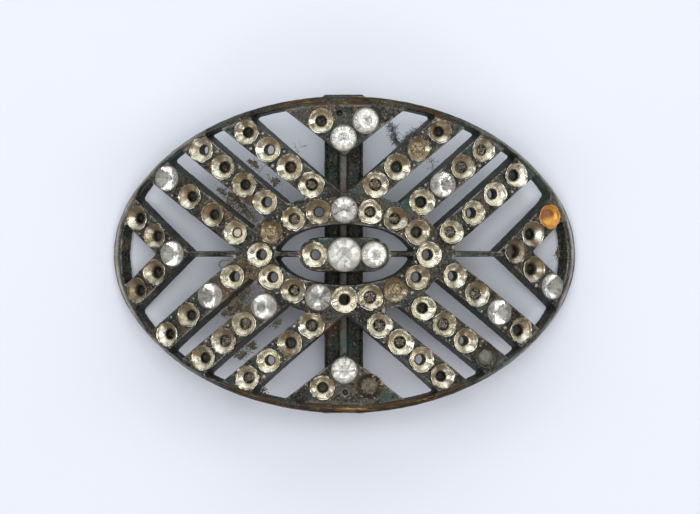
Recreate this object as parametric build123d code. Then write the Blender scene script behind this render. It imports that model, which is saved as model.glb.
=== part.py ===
"""Oval openwork shoe buckle: a cast metal arch pierced into bars, set with pointed-back stones.

X runs along the buckle, Y across it and Z up from the table that it rests on, in millimetres.
The origin is on the table, under the middle of the buckle. The face is part of a cylinder whose
axis is parallel to Y, so the buckle stands on the two ends of the oval and its middle is high.
"""
from build123d import *
import math
import os

# Outline and arch of the casting
LENGTH = 60.0
WIDTH = 40.4
FACE_RADIUS = 48.0
MIDDLE_DEPTH = 3.3
TIP_DEPTH = 1.75
RIM_DEPTH = 1.9
BLANK_CLEARANCE = 2.0

# Rim opening, a slightly squared oval, and how far an opening narrows from face to back
RIM_WIDTH = 1.1
RIM_SQUARENESS = 2.1
DRAFT = 0.15
SMALLEST_OPENING = 1.0
CUTTER_ABOVE = 2.0
CUTTER_BELOW = 1.5
CURVE_STEPS = 6

# Bars, ring, eye and points, all as they lie seen from above
BAR_HALF_WIDTH = 1.68
BAR_RUN_INTO_RING = 4.2
BAR_RUN_INTO_RIM = 5.0
CHEVRON_HALF_WIDTH = 1.6
RING_CUP_OVAL = (10.79, 5.70)
RING_OUTWARD = 2.1
RING_INWARD = 1.85
EYE_CUP_SPACING = 3.75
EYE_SIDE_RADIUS = 2.08
EYE_MIDDLE_RADIUS = 2.25
STRIP_HALF_WIDTH = 0.28
STRIP_Y = 0.1
POINT_TIP_Y = 12.6
POINT_SLOPE = 0.757

# Conical cups, drilled from the front, some of them right through
CUP_RADIUS = 1.60
LARGE_CUP_RADIUS = 2.07
CUP_ANGLE = 45.0
HOLE_RADIUS = 0.65
BLIND_DEPTH = 1.5
HOLE_BELOW_CONE = 0.6
DIMPLE_RADIUS = 0.35
DIMPLE_DEPTH = 0.6

# Cut of a stone, its heights and widths as shares of its radius at the girdle
STONE_GAP = 0.06
GIRDLE_HEIGHT = 0.06
CROWN_HEIGHT = 0.36
TABLE_SHARE = 0.50
STAR_ANGLE = 20.0
UPPER_GIRDLE_ANGLE = 44.0
PAVILION_ANGLE = 43.0
MAIN_FACETS = 8

# Strap bar soldered to the back, in line with Y, its upper end lapped over the rim
STRAP_BAR_X = -0.1
STRAP_BAR_WIDTH = 5.05
STRAP_BAR_DEPTH = 1.1
STRAP_GAP = 4.8
LEG_DEPTH = 1.3
LEG_LAP = 0.2
LEG_TOP_BELOW_FACE = 0.9
OUTER_BEND = 1.6
INNER_BEND = 0.6
LIP_WIDTH = 0.35
LIP_HEIGHT = 0.3
RIB_WIDTH = 1.1
RIB_HEIGHT = 0.45
RIB_X = -0.1

# Each cup of a row is one letter, from the rim inwards: S holds a stone, o is drilled through,
# x is an empty cup with its hole blocked, - is left to the row that shares the place.
# name, outer cup x, y, inner cup x, y, cups
BAR_ROWS = [
    ("upper_left_a", -22.8, 9.8, -13.9, 2.8, "Sxxx"),
    ("upper_left_b", -18.3, 13.4, -10.1, 6.7, "oxxo"),
    ("upper_left_c", -12.5, 15.6, -4.2, 8.9, "xoxx"),
    ("upper_right_a", 22.1, 10.2, 13.7, 2.9, "xoox"),
    ("upper_right_b", 17.8, 13.4, 9.9, 6.7, "xxSx"),
    ("upper_right_c", 12.2, 15.7, 4.0, 8.9, "xxxx"),
    ("lower_left_a", -22.8, -10.2, -14.3, -2.8, "xxSo"),
    ("lower_left_b", -18.1, -13.2, -10.2, -6.6, "xxxS"),
    ("lower_left_c", -12.4, -15.7, -4.2, -9.0, "xoxx"),
    ("lower_right_a", 22.7, -9.7, 14.1, -2.7, "xSxo"),
    ("lower_right_b", 18.2, -13.1, 10.1, -6.8, "xoxx"),
    ("lower_right_c", 12.5, -15.5, 4.5, -9.0, "xoxx"),
]
# The same for the chevrons, whose upper and lower arms share the cup at the point
CHEVRON_ARMS = [
    ("left_chevron_upper", -26.8, 4.7, -22.1, 0.1, "xxS"),
    ("left_chevron_lower", -26.8, -4.6, -22.1, 0.1, "xx-"),
    ("right_chevron_upper", 26.5, 4.9, 22.0, 0.4, "xxx"),
    ("right_chevron_lower", 26.8, -4.1, 22.0, 0.4, "Sx-"),
]
RING_CUPS = "SxxxooxxoSxooxxo"  # clockwise from the top
# name, x, y, cup
SINGLE_CUPS = [
    ("top_point_left", -3.0, 17.0, "x"),
    ("top_point_right", 2.7, 17.0, "S"),
    ("top_point_inner", -0.1, 14.8, "S"),
    ("bottom_point_left", -2.8, -16.9, "x"),
    ("bottom_point_right", 3.2, -16.7, "x"),
    ("bottom_point_inner", 0.0, -14.7, "S"),
    ("eye_left", -EYE_CUP_SPACING, 0.0, "o"),
    ("eye_right", EYE_CUP_SPACING, 0.0, "S"),
]

# Two bare dimples beside the cups of the points: x, y
DIMPLES = [(-0.6, 18.0), (0.1, -17.5)]

# Worked out from the sizes above. Heights are measured from the axis of the arch until the end.
TIP_SLOPE = math.asin(LENGTH / 2 / FACE_RADIUS)
MIDDLE_BACK = FACE_RADIUS - MIDDLE_DEPTH
TIP_BACK = FACE_RADIUS - TIP_DEPTH
TIP_BACK_HEIGHT = TIP_BACK * math.cos(TIP_SLOPE)
BACK_AXIS_DROP = (MIDDLE_BACK**2 - TIP_BACK**2) / (2 * (TIP_BACK_HEIGHT - MIDDLE_BACK))
BACK_RADIUS = MIDDLE_BACK + BACK_AXIS_DROP
ABOVE_METAL = FACE_RADIUS + BLANK_CLEARANCE
BELOW_METAL = TIP_BACK_HEIGHT - BLANK_CLEARANCE


def slope_at(x):
    """Angle between the face and the table at this distance from the middle, in radians."""
    return math.asin(x / FACE_RADIUS)


def face_plane(x, y):
    """Plane that touches the face above the point x, y, with its Z pointing out of the metal."""
    slope = slope_at(x)
    return Plane(
        origin=(x, y, FACE_RADIUS * math.cos(slope)),
        x_dir=(math.cos(slope), 0, -math.sin(slope)),
        z_dir=(math.sin(slope), 0, math.cos(slope)),
    )


def oval(half_length, half_width, squareness=2.0, steps=32):
    """Points of an oval seen from above. A squareness of 2 is an ellipse."""
    points = []
    for step in range(steps):
        turn = 2 * math.pi * step / steps
        c, s = math.cos(turn), math.sin(turn)
        reach = (abs(c) ** squareness + abs(s) ** squareness) ** (-1 / squareness)
        points.append((half_length * reach * c, half_width * reach * s))
    return points


def arch_blank():
    """The bent plate, thinner towards its two ends, cut to the oval square to its face."""
    face_cylinder = extrude(Plane.XZ * Circle(FACE_RADIUS), WIDTH, both=True)
    back_circle = Plane.XZ * Pos(0, -BACK_AXIS_DROP) * Circle(BACK_RADIUS)
    back_cylinder = extrude(back_circle, WIDTH, both=True)
    sections = []
    for height in (ABOVE_METAL, BELOW_METAL):
        points = [(height * math.tan(slope_at(x)), y) for x, y in oval(LENGTH / 2, WIDTH / 2)]
        sections.append(Pos(0, 0, height) * make_face(Spline(*points, periodic=True)))
    return (face_cylinder - back_cylinder) & loft(sections, ruled=True)


def rim_relief():
    """What is taken off the back all round, so that the rim is thinner than the bars inside it."""
    beyond_bars = Box(2 * LENGTH, 2 * WIDTH, 2 * ABOVE_METAL)
    bars = oval(LENGTH / 2 - RIM_WIDTH, WIDTH / 2 - RIM_WIDTH, RIM_SQUARENESS)
    beyond_bars -= extrude(make_face(Spline(*bars, periodic=True)), ABOVE_METAL)
    return beyond_bars & extrude(Plane.XZ * Circle(FACE_RADIUS - RIM_DEPTH), WIDTH, both=True)


def strip_between(start, end, half_width, before, after):
    """Flat strip seen from above, run on past its two ends."""
    start, end = Vector(*start), Vector(*end)
    along = (end - start).normalized()
    middle = (start - along * before + end + along * after) * 0.5
    turn = math.degrees(math.atan2(along.Y, along.X))
    length = (end - start).length + before + after
    return Pos(middle) * Rot(0, 0, turn) * Rectangle(length, 2 * half_width)


def chevron(upper, lower, swell):
    """Two arms of equal width that meet in a sharp point at the cup they share."""
    half_width = CHEVRON_HALF_WIDTH + swell
    point = Vector(upper[3], upper[4])
    away = [Vector(arm[1], arm[2]) - point for arm in (upper, lower)]
    ends = [point + arm * (1 + BAR_RUN_INTO_RIM / arm.length) for arm in away]
    sides = [away[0].normalized().rotate(Axis.Z, 90), away[1].normalized().rotate(Axis.Z, -90)]
    mitre = (sides[0] + sides[1]) * (half_width / (1 + sides[0].dot(sides[1])))
    near = [ends[0] + sides[0] * half_width, point + mitre, ends[1] + sides[1] * half_width]
    far = [ends[1] - sides[1] * half_width, point - mitre, ends[0] - sides[0] * half_width]
    return make_face(Polyline(*near, *far, close=True))


def metal_seen_from_above(swell):
    """What is left between the openings, each side moved out by swell."""
    shapes = []
    for name, x1, y1, x2, y2, cups in BAR_ROWS:
        ends = (x1, y1), (x2, y2)
        half_width = BAR_HALF_WIDTH + swell
        shapes.append(strip_between(*ends, half_width, BAR_RUN_INTO_RIM, BAR_RUN_INTO_RING))
    shapes += [chevron(*CHEVRON_ARMS[:2], swell), chevron(*CHEVRON_ARMS[2:], swell)]
    across, along = RING_CUP_OVAL
    ring = Ellipse(across + RING_OUTWARD + swell, along + RING_OUTWARD + swell)
    ring -= Ellipse(across - RING_INWARD - swell, along - RING_INWARD - swell)
    eye_circles = [Circle(EYE_MIDDLE_RADIUS + swell)]
    chevron_x = abs(CHEVRON_ARMS[0][3])
    for end in (-1, 1):
        eye_circles.append(Pos(end * EYE_CUP_SPACING, 0) * Circle(EYE_SIDE_RADIUS + swell))
        strip_ends = (end * EYE_CUP_SPACING, STRIP_Y), (end * chevron_x, STRIP_Y)
        shapes.append(strip_between(*strip_ends, STRIP_HALF_WIDTH + swell, 0, 0))
        foot = WIDTH / 2
        tip = POINT_TIP_Y - swell / math.cos(math.atan(POINT_SLOPE))
        half_foot = (foot - tip) / POINT_SLOPE
        corners = (0, end * tip), (half_foot, end * foot), (-half_foot, end * foot)
        shapes.append(make_face(Polyline(*corners, close=True)))
    shapes += [ring, make_hull([edge for circle in eye_circles for edge in circle.edges()])]
    return shapes


def opening_outlines(swell):
    """Every opening as a flat face seen from above, with the metal round it swollen."""
    rim = RIM_WIDTH + swell
    inside_rim = oval(LENGTH / 2 - rim, WIDTH / 2 - rim, RIM_SQUARENESS)
    area = make_face(Spline(*inside_rim, periodic=True))
    for shape in metal_seen_from_above(swell):
        area -= shape
    return [face for face in area.faces() if face.area > SMALLEST_OPENING]


def section_of_opening(outline, middle, height):
    """The outline carried along the slope of the face to a plane this far above the face."""
    plane = face_plane(middle.X, middle.Y).offset(height)
    slope = slope_at(middle.X)
    edges = []
    for edge in outline.outer_wire().order_edges():
        steps = 1 if edge.geom_type == GeomType.LINE else CURVE_STEPS
        points = []
        for step in range(steps + 1):
            point = edge @ (step / steps)
            across = (FACE_RADIUS + height) * math.tan(slope_at(point.X) - slope)
            points.append((across, point.Y - middle.Y))
        edges.append(Line(*points) if steps == 1 else Spline(*points))
    return plane * make_face(Wire(edges))


def opening_cutters():
    """A tapered plug for each opening, square to the face and a little smaller at the back."""
    above, below = CUTTER_ABOVE, -(MIDDLE_DEPTH + CUTTER_BELOW)
    wide = opening_outlines(-DRAFT * above / MIDDLE_DEPTH)
    narrow = opening_outlines(-DRAFT * below / MIDDLE_DEPTH)
    cutters = []
    for outline in wide:
        middle = outline.center()
        partner = min(narrow, key=lambda other: (other.center() - middle).length)
        top = section_of_opening(outline, middle, above)
        bottom = section_of_opening(partner, middle, below)
        cutters.append(loft([top, bottom], ruled=True))
    return cutters


def cup_places():
    """Yields the name, x, y, kind and radius of every cup of the casting."""
    for name, x1, y1, x2, y2, cups in BAR_ROWS + CHEVRON_ARMS:
        for number, kind in enumerate(cups):
            share = number / (len(cups) - 1)
            x, y = x1 + (x2 - x1) * share, y1 + (y2 - y1) * share
            if kind != "-":
                yield f"{name}_{number + 1}", x, y, kind, CUP_RADIUS
    ring = Ellipse(*RING_CUP_OVAL).edge()
    top_of_ring = 0.25
    for number, kind in enumerate(RING_CUPS):
        place = ring.position_at((top_of_ring - number / len(RING_CUPS)) % 1)
        yield f"ring_{number + 1}", place.X, place.Y, kind, CUP_RADIUS
    for name, x, y, kind in SINGLE_CUPS:
        yield name, x, y, kind, CUP_RADIUS
    yield "centre", 0, 0, "S", LARGE_CUP_RADIUS


def cup_cutter(x, y, kind, radius):
    """Conical seat with a drilled hole under it, square to the face."""
    cone_depth = (radius - HOLE_RADIUS) * math.tan(math.radians(CUP_ANGLE))
    hole_depth = max(BLIND_DEPTH, cone_depth + HOLE_BELOW_CONE)
    if kind == "o":
        hole_depth = MIDDLE_DEPTH + CUTTER_BELOW
    seat = (0, 0), (radius, 0), (HOLE_RADIUS, -cone_depth)
    hole = (HOLE_RADIUS, -hole_depth), (0, -hole_depth)
    profile = make_face(Polyline(*seat, *hole, close=True))
    return face_plane(x, y) * revolve(Plane.XZ * profile, Axis.Z)


def facet(azimuth, angle, out, height):
    """Plane of a facet that falls away at this angle and passes this far out at this height."""
    turn, tilt = math.radians(azimuth), math.radians(angle)
    across, up = Vector(math.cos(turn), math.sin(turn), 0), Vector(0, 0, 1)
    return Plane(
        origin=across * out + up * height,
        z_dir=across * math.sin(tilt) + up * math.cos(tilt),
    )


def cut_stone(radius):
    """Pointed-back stone, its girdle resting on the plane Z = 0: a table, then rows of facets."""
    crown = CROWN_HEIGHT * radius
    girdle = GIRDLE_HEIGHT * radius
    table = TABLE_SHARE * radius
    table_corner = table / math.cos(math.pi / MAIN_FACETS)
    main_angle = math.degrees(math.atan2(crown - girdle, radius - table_corner))
    step = 360 / MAIN_FACETS
    facets = []
    for number in range(MAIN_FACETS):
        azimuth = number * step
        facets.append(facet(azimuth, main_angle, table_corner, crown))
        facets.append(facet(azimuth + step / 2, STAR_ANGLE, table, crown))
        facets.append(facet(azimuth + step / 4, UPPER_GIRDLE_ANGLE, radius, girdle))
        facets.append(facet(azimuth + 3 * step / 4, UPPER_GIRDLE_ANGLE, radius, girdle))
        facets.append(facet(azimuth, 180 - PAVILION_ANGLE, radius, 0))
        facets.append(facet(azimuth + step / 2, 180 - PAVILION_ANGLE, radius, 0))
    depth = radius * math.tan(math.radians(PAVILION_ANGLE))
    outline = RegularPolygon(radius, 2 * MAIN_FACETS)
    stone = Pos(0, 0, -depth) * extrude(outline, depth + crown)
    for plane in facets:
        stone = split(stone, plane, keep=Keep.BOTTOM)
    return stone


def cradle(low_y, high_y, bottom, bend):
    """Upright flat shape as high as the legs of the strap bar, its two lower corners rounded."""
    top = FACE_RADIUS - LEG_TOP_BELOW_FACE
    shape = Polyline((low_y, top), (low_y, bottom), (high_y, bottom), (high_y, top), close=True)
    return fillet(make_face(shape).vertices().group_by(Axis.Y)[0], bend)


def strap_bar():
    """Flat bar with two lips and a rib along it, its ends bent up and soldered to the rim."""
    front = MIDDLE_BACK - STRAP_GAP
    side = cradle(-WIDTH / 2, WIDTH / 2 + LEG_LAP, front - STRAP_BAR_DEPTH, OUTER_BEND)
    inner_y = WIDTH / 2 - LEG_DEPTH
    side -= cradle(-inner_y, inner_y, front, INNER_BEND)
    bar = extrude(Plane.YZ * side, STRAP_BAR_WIDTH / 2, both=True)
    run = 2 * (inner_y - INNER_BEND)
    lip_x = (STRAP_BAR_WIDTH - LIP_WIDTH) / 2
    lips = [(x, LIP_WIDTH, LIP_HEIGHT) for x in (-lip_x, lip_x)]
    for x, width, height in [*lips, (RIB_X, RIB_WIDTH, RIB_HEIGHT)]:
        bar += Pos(x, 0, front) * Box(width, run, 2 * height)
    return Pos(STRAP_BAR_X, 0, 0) * bar


def frame():
    """The whole soldered metalwork in one solid: the pierced arch, its cups and the strap bar."""
    body = arch_blank() - rim_relief()
    body -= opening_cutters()
    body -= [cup_cutter(x, y, kind, radius) for name, x, y, kind, radius in cup_places()]
    body -= [face_plane(x, y) * Cylinder(DIMPLE_RADIUS, 2 * DIMPLE_DEPTH) for x, y in DIMPLES]
    return body + strap_bar()


def stones():
    """Yields each stone that is left, by the name of its cup, lying in its seat."""
    for name, x, y, kind, radius in cup_places():
        if kind == "S":
            yield "stone_" + name, face_plane(x, y) * cut_stone(radius - STONE_GAP)


if __name__ == "__main__":
    os.makedirs("parts", exist_ok=True)
    on_table = Pos(0, 0, -TIP_BACK_HEIGHT)
    export_step(on_table * frame(), "parts/frame.step")
    for name, stone in stones():
        export_step(on_table * stone, f"parts/{name}.step")
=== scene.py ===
# %% [markdown]
# # An old openwork shoe buckle
# The buckle is a dark cast arch, pierced into bars, with rows of conical cups. A few cups still
# hold their pointed-back glass stones, and the others show the bright foil that lay behind them.
# The solids fix every size. This script dresses them: it softens the casting, lines the cups,
# adds what age has left on them, and sets up the table, the lights and the camera.

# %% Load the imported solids
import bmesh
import bpy
import math
import numpy as np
from mathutils import Matrix, Vector, kdtree, noise


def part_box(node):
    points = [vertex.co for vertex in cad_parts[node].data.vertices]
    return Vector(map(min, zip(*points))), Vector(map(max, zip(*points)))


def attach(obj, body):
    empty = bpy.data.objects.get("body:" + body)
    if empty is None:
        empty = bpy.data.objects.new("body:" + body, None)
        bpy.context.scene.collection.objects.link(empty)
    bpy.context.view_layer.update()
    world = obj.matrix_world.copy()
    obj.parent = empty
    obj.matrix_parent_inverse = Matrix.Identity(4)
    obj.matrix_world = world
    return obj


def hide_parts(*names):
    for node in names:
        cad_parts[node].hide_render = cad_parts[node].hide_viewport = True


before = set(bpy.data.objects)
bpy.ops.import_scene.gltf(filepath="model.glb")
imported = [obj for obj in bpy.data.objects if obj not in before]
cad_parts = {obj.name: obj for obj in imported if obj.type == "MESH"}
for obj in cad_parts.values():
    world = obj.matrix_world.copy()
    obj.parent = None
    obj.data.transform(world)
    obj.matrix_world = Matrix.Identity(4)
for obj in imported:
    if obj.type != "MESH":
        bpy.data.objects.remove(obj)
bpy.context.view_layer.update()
MM = 0.001

# %% [markdown]
# The face is part of a cylinder that lies along Y. Everything on the face is therefore placed by
# where it is seen from above, and a matrix for that place turns it square to the face. The other
# way round, a point of the metal is "unrolled": how far along the arch it lies, how far across,
# and how deep under the face. Wear and dirt are much easier to describe there.

# %% The arch
FACE_RADIUS = 48 * MM
HALF_LENGTH, HALF_WIDTH = 30 * MM, 20.2 * MM
AXIS_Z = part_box("frame")[1].z - FACE_RADIUS


def seat(x, y, sink=0.0, spin=0.0):
    """Matrix whose Z points out of the metal at the place seen at x, y, this deep under the face."""
    slope = math.asin(x / FACE_RADIUS)
    out = Vector((math.sin(slope), 0, math.cos(slope)))
    spot = Vector((0, y, AXIS_Z)) + out * (FACE_RADIUS - sink)
    turn = Matrix.Rotation(slope, 4, "Y") @ Matrix.Rotation(spin, 4, "Z")
    return Matrix.Translation(spot) @ turn


def unroll(points):
    """Columns: along the arch, across it, depth under the face, and x as seen from above."""
    up, x = points[:, 2] - AXIS_Z, points[:, 0]
    slope = np.arctan2(x, up)
    depth = FACE_RADIUS - np.hypot(x, up)
    return np.stack([FACE_RADIUS * slope, points[:, 1], depth, FACE_RADIUS * np.sin(slope)], 1)


def roll_up(along, across, depth):
    """The points again, from where they lie on the unrolled arch."""
    slope, reach = along / FACE_RADIUS, FACE_RADIUS - depth
    return np.stack([reach * np.sin(slope), across, AXIS_Z + reach * np.cos(slope)], 1)


def smooth(low, high, value):
    """0 below low, 1 above high, and a soft slope between them."""
    share = np.clip((value - low) / (high - low), 0, 1)
    return share * share * (3 - 2 * share)


tip_slope = math.degrees(math.asin(HALF_LENGTH / FACE_RADIUS))
print("the face leans", round(tip_slope, 1), "degrees at each tip")

# %% [markdown]
# The cups stand in straight rows, on chevrons, round a ring and in the points and the eye. Their
# places are the solids' own. One letter for each cup tells what is in it today, from the rim
# inwards: S a stone, o a hole right through, d a dark blind hole, r shiny residue over the hole,
# g a pale dried drop in it, c crusted over, x crusted black, b plugged with grey, u rusted,
# p browned, k half full of dirt, and - for a place that the row before has filled.

# %% What every cup holds
# outer cup x, y, inner cup x, y in millimetres, cups
CUP_ROWS = [
    (-22.8, 9.8, -13.9, 2.8, "Sddg"),
    (-18.3, 13.4, -10.1, 6.7, "oddo"),
    (-12.5, 15.6, -4.2, 8.9, "dodr"),
    (22.1, 10.2, 13.7, 2.9, "door"),
    (17.8, 13.4, 9.9, 6.7, "rrSd"),
    (12.2, 15.7, 4.0, 8.9, "dcdr"),
    (-22.8, -10.2, -14.3, -2.8, "ddSo"),
    (-18.1, -13.2, -10.2, -6.6, "drrS"),
    (-12.4, -15.7, -4.2, -9.0, "rodr"),
    (22.7, -9.7, 14.1, -2.7, "dSro"),
    (18.2, -13.1, 10.1, -6.8, "bord"),
    (12.5, -15.5, 4.5, -9.0, "dorr"),
    (-26.8, 4.7, -22.1, 0.1, "ppS"),
    (-26.8, -4.6, -22.1, 0.1, "pp-"),
    (26.5, 4.9, 22.0, 0.4, "udk"),
    (26.8, -4.1, 22.0, 0.4, "Sp-"),
]
RING_OVAL = (10.79, 5.70)
RING_CUPS = "SrrdoocroSroocro"
# x, y, cup
SINGLE_CUPS = [
    (-3.0, 17.0, "d"),
    (2.7, 17.0, "S"),
    (-0.1, 14.8, "S"),
    (-2.8, -16.9, "d"),
    (3.2, -16.7, "x"),
    (0.0, -14.7, "S"),
    (-3.75, 0.0, "o"),
    (3.75, 0.0, "S"),
]
CUP_RADIUS, LARGE_CUP_RADIUS = 1.60 * MM, 2.07 * MM


def row_cups(x1, y1, x2, y2, cups):
    """Places and letters of the cups of one straight row."""
    last = len(cups) - 1
    for number, kind in enumerate(cups):
        share = number / last
        yield (x1 + (x2 - x1) * share) * MM, (y1 + (y2 - y1) * share) * MM, kind


def even_places(count, half_long, half_wide, steps=3600):
    """Places at even distances round an oval, clockwise from its top."""
    turn = np.linspace(0, 2 * math.pi, steps + 1)
    oval = np.stack([half_long * np.sin(turn), half_wide * np.cos(turn)], 1)
    run = np.concatenate([[0], np.cumsum(np.linalg.norm(np.diff(oval, axis=0), axis=1))])
    at = np.arange(count) * run[-1] / count
    return np.stack([np.interp(at, run, oval[:, 0]), np.interp(at, run, oval[:, 1])], 1)


rows = [[cup for cup in row_cups(*row) if cup[2] != "-"] for row in CUP_ROWS]
ring_places = even_places(len(RING_CUPS), RING_OVAL[0] * MM, RING_OVAL[1] * MM)
ring = [(x, y, kind) for (x, y), kind in zip(ring_places, RING_CUPS)]
singles = [(x * MM, y * MM, kind) for x, y, kind in SINGLE_CUPS]
small_cups = [cup for row in rows for cup in row] + ring + singles
cups = [(x, y, kind, CUP_RADIUS) for x, y, kind in small_cups]
cups.append((0.0, 0.0, "S", LARGE_CUP_RADIUS))
print(len(cups), "cups,", sum(cup[2] == "S" for cup in cups), "of them with a stone")

# %% [markdown]
# Most of the small work is made of many like shapes: linings, collars, beads, fibres. Each kind
# is gathered into one mesh. Every point also carries four numbers from 0 to about 1, kept as a
# colour attribute, which the materials read as amounts of stain, dirt or wear, and in places as
# painted shade and painted highlight.

# %% A gatherer of like shapes
random = np.random.default_rng(1790)


class Gathered:
    """Small closed shapes that become one mesh with one attribute called finish."""

    def __init__(self):
        self.points, self.faces, self.finish = [], [], []
        self.count = 0

    def add(self, points, faces, finish):
        """Adds a shape. finish is four numbers, or four for every point."""
        self.points.append(np.asarray(points, float))
        self.faces += [tuple(self.count + corner for corner in face) for face in faces]
        self.finish.append(np.broadcast_to(np.asarray(finish, float), (len(points), 4)))
        self.count += len(points)

    def mesh(self, name, slot):
        """The gathered shapes as one smooth piece of the buckle."""
        data = bpy.data.meshes.new(name)
        data.from_pydata(np.concatenate(self.points).tolist(), [], self.faces)
        data.polygons.foreach_set("use_smooth", [True] * len(data.polygons))
        set_finish(data, np.concatenate(self.finish))
        piece = bpy.data.objects.new(name, data)
        bpy.context.collection.objects.link(piece)
        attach(piece, "root")
        print(name, len(data.polygons), "faces")
        return piece


def set_finish(data, finish):
    """Stores four numbers for every point of the mesh."""
    store = data.attributes.get("finish") or data.attributes.new("finish", "FLOAT_COLOR", "POINT")
    store.data.foreach_set("color", np.asarray(finish, np.float32).ravel())


def placed(matrix, points):
    """The points moved by the matrix."""
    turn = np.array(matrix)
    return points @ turn[:3, :3].T + turn[:3, 3]


def turned(reach, height, angle):
    """Points at this reach from Z and this height, at each angle."""
    across = reach * np.sin(angle)
    return np.stack([reach * np.cos(angle), across, height + 0 * across], -1)


def wrapped_grid(rings, segments, closed):
    """Faces of a grid of rings of points, the last ring joined to the first if closed."""
    faces = []
    for ring_number in range(rings if closed else rings - 1):
        near, far = ring_number * segments, (ring_number + 1) % rings * segments
        for segment in range(segments):
            after = (segment + 1) % segments
            faces.append((near + segment, near + after, far + after, far + segment))
    return faces


# %% [markdown]
# A cast and rubbed piece of metal has no sharp corner anywhere. The solid's mesh is therefore
# rebuilt from small even cells, which rounds every edge a little and gives enough points to work
# on, and is then thinned where it is flat. The alternative, a bevel on every edge, fails where
# cups cut into each other. The rim gets a real round on its outer side, as on the buckle, and
# inside that a shallow groove.

# %% Rebuild the casting in small cells
CELL = 0.14 * MM
MOST_TRIANGLES = 196_000


def with_modifier(piece, kind, **settings):
    """Applies one modifier and returns the piece."""
    modifier = piece.modifiers.new(kind.lower(), kind)
    for name, value in settings.items():
        setattr(modifier, name, value)
    graph = bpy.context.evaluated_depsgraph_get()
    data = bpy.data.meshes.new_from_object(piece.evaluated_get(graph))
    piece.modifiers.clear()
    piece.data = data
    return piece


def weld(data):
    """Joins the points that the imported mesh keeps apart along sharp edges."""
    work = bmesh.new()
    work.from_mesh(data)
    bmesh.ops.remove_doubles(work, verts=work.verts, dist=0.0005 * MM)
    work.to_mesh(data)
    work.free()


metal = bpy.data.objects.new("casting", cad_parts["frame"].data.copy())
bpy.context.collection.objects.link(metal)
weld(metal.data)
solid_mesh = metal.data.copy()
with_modifier(metal, "REMESH", mode="VOXEL", voxel_size=CELL, use_smooth_shade=True)
print("casting in cells:", len(metal.data.polygons), "faces")


# %% Find the edges of the openings on the face
EDGE_STEP, FACE_SLACK = 0.1 * MM, 0.02 * MM
WALL_LEAN, FACE_LEAN = 0.35, 0.97


def rim_edge_points(data):
    """Points along the edges where the face meets an upright wall."""
    work = bmesh.new()
    work.from_mesh(data)
    points = []
    for edge in work.edges:
        if len(edge.link_faces) != 2:
            continue
        middle = (edge.verts[0].co + edge.verts[1].co) / 2
        out = Vector((middle.x, 0, middle.z - AXIS_Z)).normalized()
        lean = sorted(abs(face.normal.dot(out)) for face in edge.link_faces)
        on_face = abs(math.hypot(middle.x, middle.z - AXIS_Z) - FACE_RADIUS) < FACE_SLACK
        if on_face and lean[0] < WALL_LEAN and lean[1] > FACE_LEAN:
            count = max(1, math.ceil(edge.calc_length() / EDGE_STEP))
            start, run = edge.verts[0].co.copy(), edge.verts[1].co - edge.verts[0].co
            points += [start + run * (number / count) for number in range(count)]
    work.free()
    return points


edge_points = rim_edge_points(solid_mesh)
edge_tree = kdtree.KDTree(len(edge_points))
for number, point in enumerate(edge_points):
    edge_tree.insert(point, number)
edge_tree.balance()
print("edge points:", len(edge_points))


# %% Round the rim and roughen the skin
RIM_ROUND, RIM_BACK_ROUND, RIM_DEPTH = 0.78 * MM, 0.35 * MM, 1.9 * MM
LEG_X, LEG_HALF_WIDTH, RIB_HALF_LENGTH = -0.1 * MM, 2.6 * MM, 17.5 * MM
TIP_SWELL = 0.35 * MM
CREST_IN, CREST_WIDTH = 0.40 * MM, 0.15 * MM
GROOVE_IN, GROOVE_WIDTH, GROOVE_DEEP = 0.92 * MM, 0.14 * MM, 0.13 * MM
GROOVE_LIP_IN, GROOVE_LIP_WIDTH = GROOVE_IN + 0.24 * MM, 0.09 * MM
SKIN_WAVE, SKIN_WAVE_DEEP = 1.6 * MM, 0.05 * MM
SKIN_GRAIN, SKIN_GRAIN_DEEP = 0.5 * MM, 0.028 * MM
AT_FACE, TABLE_CLEAR = 0.3 * MM, 0.003 * MM


def ridge(value, middle, width):
    """1 at the middle, fading away on both sides of it."""
    return np.exp(-((value - middle) / width) ** 2)


def points_of(data, what="co"):
    """The points of a mesh, or their normals, as rows of three numbers."""
    flat = np.empty(3 * len(data.vertices), np.float32)
    data.vertices.foreach_get(what, flat)
    return flat.reshape(-1, 3).astype(float)


def inside_rim(along, across, seen_x):
    """How far a point lies inside the outer wall of the rim, along the face."""
    reach = np.hypot(seen_x / HALF_LENGTH, across / HALF_WIDTH) + 1e-9
    slope_along = seen_x / HALF_LENGTH**2 / reach * np.cos(along / FACE_RADIUS)
    slope_across = across / HALF_WIDTH**2 / reach
    return (1 - reach) / (np.hypot(slope_along, slope_across) + 1e-9)


def rounded_corner(inward, down, radius):
    """Moves points of a square corner onto a round one. Both distances are from the corner."""
    over, below = radius - inward, radius - down
    apply = (over > 0) & (below > 0)
    longest, length = np.maximum(over, below), np.hypot(over, below) + 1e-12
    share = np.where(apply, longest / length, 1)
    return radius - over * share, radius - below * share


def clouds(points, size, octaves=3, seed=0.0):
    """Soft noise between about -1 and 1 whose lumps are about this large."""
    shift = Vector((seed, -seed, 2 * seed))
    return np.array([
        noise.fractal(Vector(point) / size + shift, 0.8, 2.0, octaves) for point in points
    ])


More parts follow.
